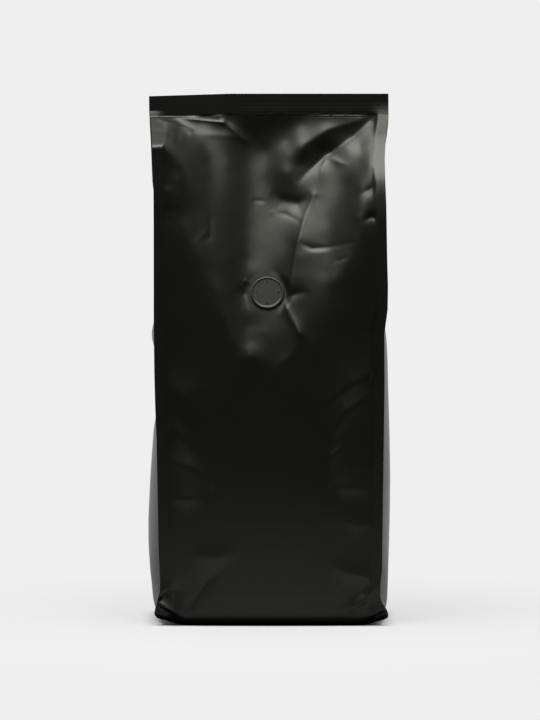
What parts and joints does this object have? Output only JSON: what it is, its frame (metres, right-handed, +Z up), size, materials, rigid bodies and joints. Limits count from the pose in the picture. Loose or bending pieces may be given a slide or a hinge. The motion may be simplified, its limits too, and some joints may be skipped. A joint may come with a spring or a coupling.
{
  "type": "coffee bag",
  "caption": "Shut, filled, side-gusseted film bag that stands on its flat base, with corner seals, a heat-sealed top band and a one-way valve on the front.",
  "frame": {"origin": "on the base, under the middle of the bag", "axes": "+Z up, from the base to the sealed top; the front panel with the valve faces -Y; +X is to the right seen from the front"},
  "size_m": [0.1436, 0.1027, 0.314],
  "materials": {
    "film": "satin black film with soft creases",
    "valve": "satin black moulded plastic"
  },
  "bodies": {
    "root": {"bag_body": "film", "degassing_valve": "valve"}
  },
  "joints": []
}
